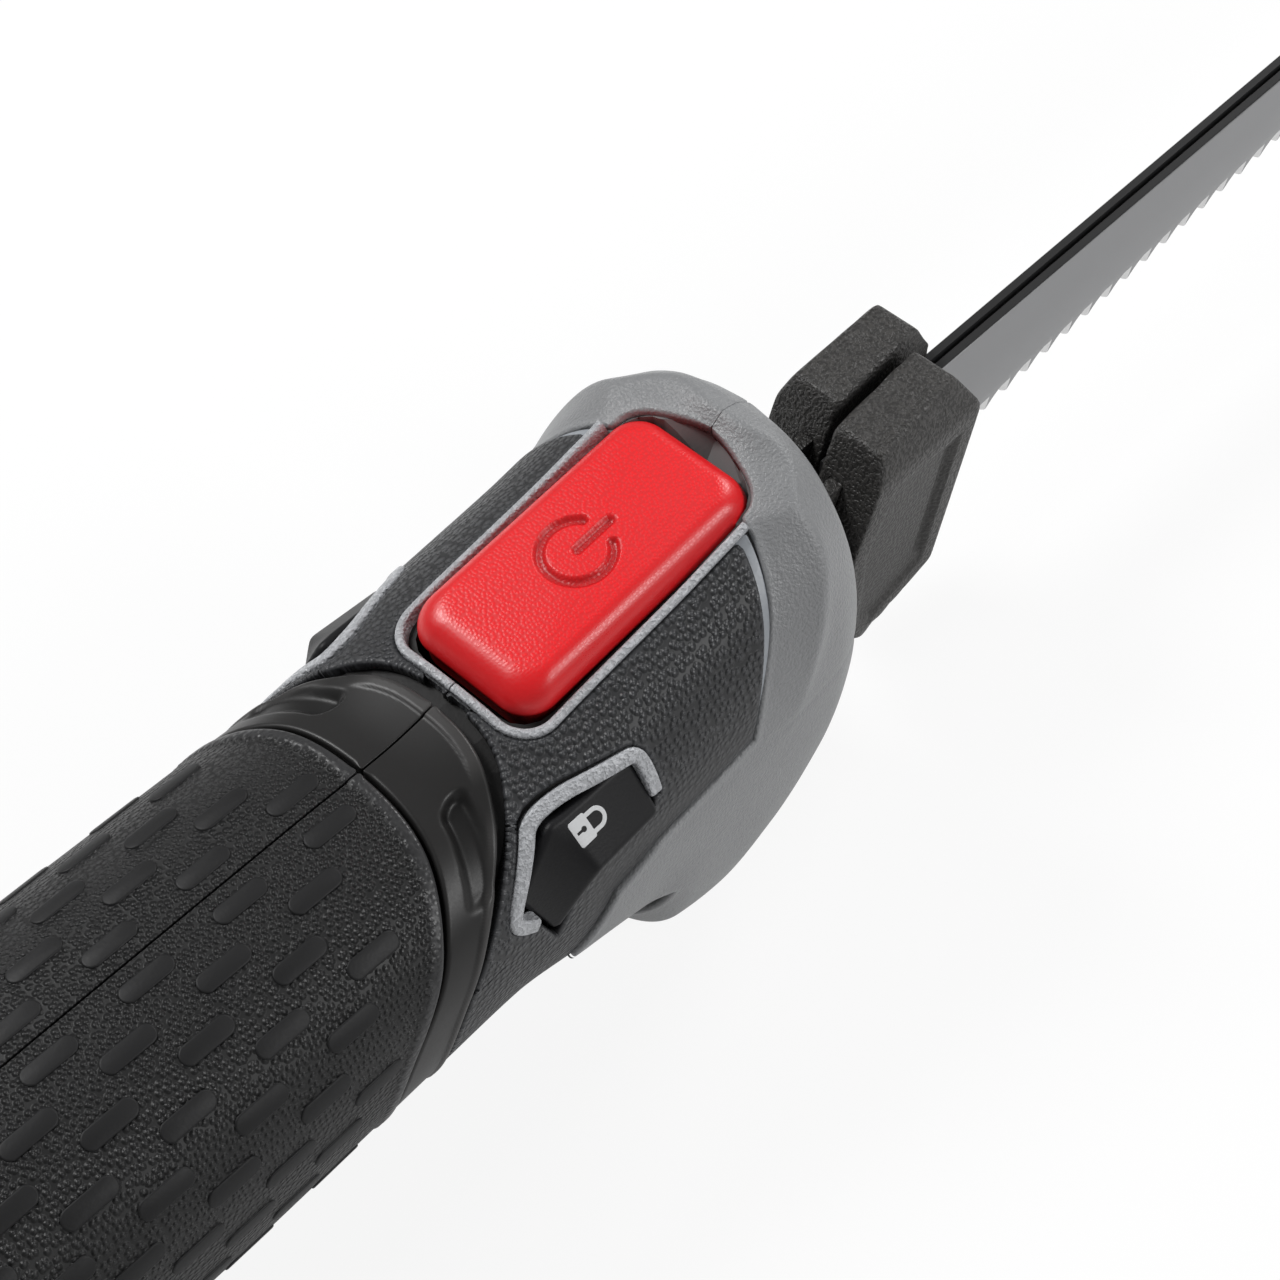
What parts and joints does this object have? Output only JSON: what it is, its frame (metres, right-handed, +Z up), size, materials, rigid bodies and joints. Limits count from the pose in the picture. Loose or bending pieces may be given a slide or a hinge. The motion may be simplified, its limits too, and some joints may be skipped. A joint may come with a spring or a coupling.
{
  "type": "electric fillet knife",
  "caption": "Cordless electric fillet knife with a thumb trigger, textured grip, finger guard, removable rear battery and paired serrated blades that slide past each other.",
  "frame": {"origin": "middle of the bounding box at the level of the surface that the guard and the battery foot stand on", "axes": "+X forward along the blades, +Y to the knife's left, +Z up from the cutting edge to the trigger"},
  "size_m": [0.454, 0.0568, 0.0771],
  "materials": {
    "grey_plastic": "satin mid-grey moulded plastic",
    "charcoal_rubber": "charcoal leather-grain soft moulding",
    "neck_rubber": "smooth black soft moulding",
    "grip_rubber": "black grained soft moulding with raised lenses",
    "black_plastic": "fine-textured black plastic",
    "hub_plastic": "coarse-textured black plastic",
    "red_plastic": "satin red plastic",
    "blade_steel": "satin steel with a dark coated back",
    "inner_steel": "plain steel",
    "brass": "plain brass",
    "nylon": "natural nylon"
  },
  "bodies": {
    "handle": {"housing_right": "grey_plastic", "housing_left": "grey_plastic", "head_cover_right": "charcoal_rubber", "head_cover_left": "charcoal_rubber", "neck_band_right": "neck_rubber", "neck_band_left": "neck_rubber", "grip_cover_right": "grip_rubber", "grip_cover_left": "grip_rubber", "nose_plate": "black_plastic", "terminal_block": "black_plastic", "contact_1": "brass", "contact_2": "brass", "contact_3": "brass", "trigger_pin": "inner_steel", "trigger_spring": "inner_steel", "switch_body": "black_plastic", "motor_can": "inner_steel", "shaft_bush": "brass", "wheel_axle": "inner_steel"},
    "trigger": {"trigger": "red_plastic"},
    "switch_plunger": {"switch_plunger": "red_plastic"},
    "lock": {"lock_bar": "black_plastic", "lock_button_right": "black_plastic", "lock_button_left": "black_plastic"},
    "rotor": {"motor_shaft": "inner_steel", "worm": "inner_steel", "motor_armature": "inner_steel"},
    "crank": {"worm_wheel": "nylon", "eccentric_right": "nylon", "eccentric_left": "nylon"},
    "rod_right": {"drive_rod_right": "inner_steel"},
    "rod_left": {"drive_rod_left": "inner_steel"},
    "blade_right": {"hub_right": "hub_plastic", "blade_right": "blade_steel"},
    "blade_left": {"hub_left": "hub_plastic", "blade_left": "blade_steel", "blade_rivet": "blade_steel"},
    "battery": {"battery_case": "black_plastic", "battery_foot": "black_plastic"},
    "latch_right": {"battery_latch_right": "grey_plastic"},
    "latch_left": {"battery_latch_left": "grey_plastic"}
  },
  "joints": [
    {"name": "rotor_spin", "type": "hinge", "parent": "handle", "child": "rotor", "pos_m": [-0.041, 0, 0.044], "axis": [1, 0, 0], "range_deg": [0, 3600]},
    {"name": "crank_spin", "type": "hinge", "parent": "handle", "child": "crank", "pos_m": [-0.041, 0, 0.028], "axis": [0, 1, 0], "range_deg": [-180, 0]},
    {"name": "rod_left_slide", "type": "slide", "parent": "handle", "child": "rod_left", "axis": [1, 0, 0], "range_m": [-0.0038, 0]},
    {"name": "rod_right_slide", "type": "slide", "parent": "handle", "child": "rod_right", "axis": [1, 0, 0], "range_m": [0, 0.0038]},
    {"name": "blade_left_pull", "type": "slide", "parent": "rod_left", "child": "blade_left", "axis": [1, 0, 0], "range_m": [0, 0.03]},
    {"name": "blade_right_pull", "type": "slide", "parent": "rod_right", "child": "blade_right", "axis": [1, 0, 0], "range_m": [0, 0.03]},
    {"name": "trigger_press", "type": "hinge", "parent": "handle", "child": "trigger", "pos_m": [-0.0196, 0, 0.069], "axis": [0, -1, 0], "range_deg": [0, 4.5], "stiffness_Nm_per_rad": 1.5, "springref_deg": -2.86, "deforming": ["trigger_spring"]},
    {"name": "plunger_slide", "type": "slide", "parent": "handle", "child": "switch_plunger", "axis": [0, 0, -1], "range_m": [0, 0.0016]},
    {"name": "lock_slide", "type": "slide", "parent": "handle", "child": "lock", "axis": [0, 1, 0], "range_m": [-0.0015, 0.0015]},
    {"name": "battery_slide", "type": "slide", "parent": "handle", "child": "battery", "axis": [-1, 0, 0], "range_m": [0, 0.095]},
    {"name": "latch_right_press", "type": "slide", "parent": "battery", "child": "latch_right", "axis": [0, 1, 0], "range_m": [0, 0.002], "stiffness_N_per_m": 800, "springref_m": -0.001},
    {"name": "latch_left_press", "type": "slide", "parent": "battery", "child": "latch_left", "axis": [0, -1, 0], "range_m": [0, 0.002], "stiffness_N_per_m": 800, "springref_m": -0.001}
  ],
  "couplings": [
    {"joint": "crank_spin", "follows": "rotor_spin", "ratio": -0.05},
    {"joint": "rod_left_slide", "follows": "rotor_spin", "m_per_rad": -0.000060475},
    {"joint": "rod_right_slide", "follows": "rotor_spin", "m_per_rad": 0.000060475},
    {"joint": "plunger_slide", "follows": "trigger_press", "m_per_rad": 0.0184},
    {"joint": "blade_right_pull", "follows": "blade_left_pull", "ratio": 1}
  ]
}
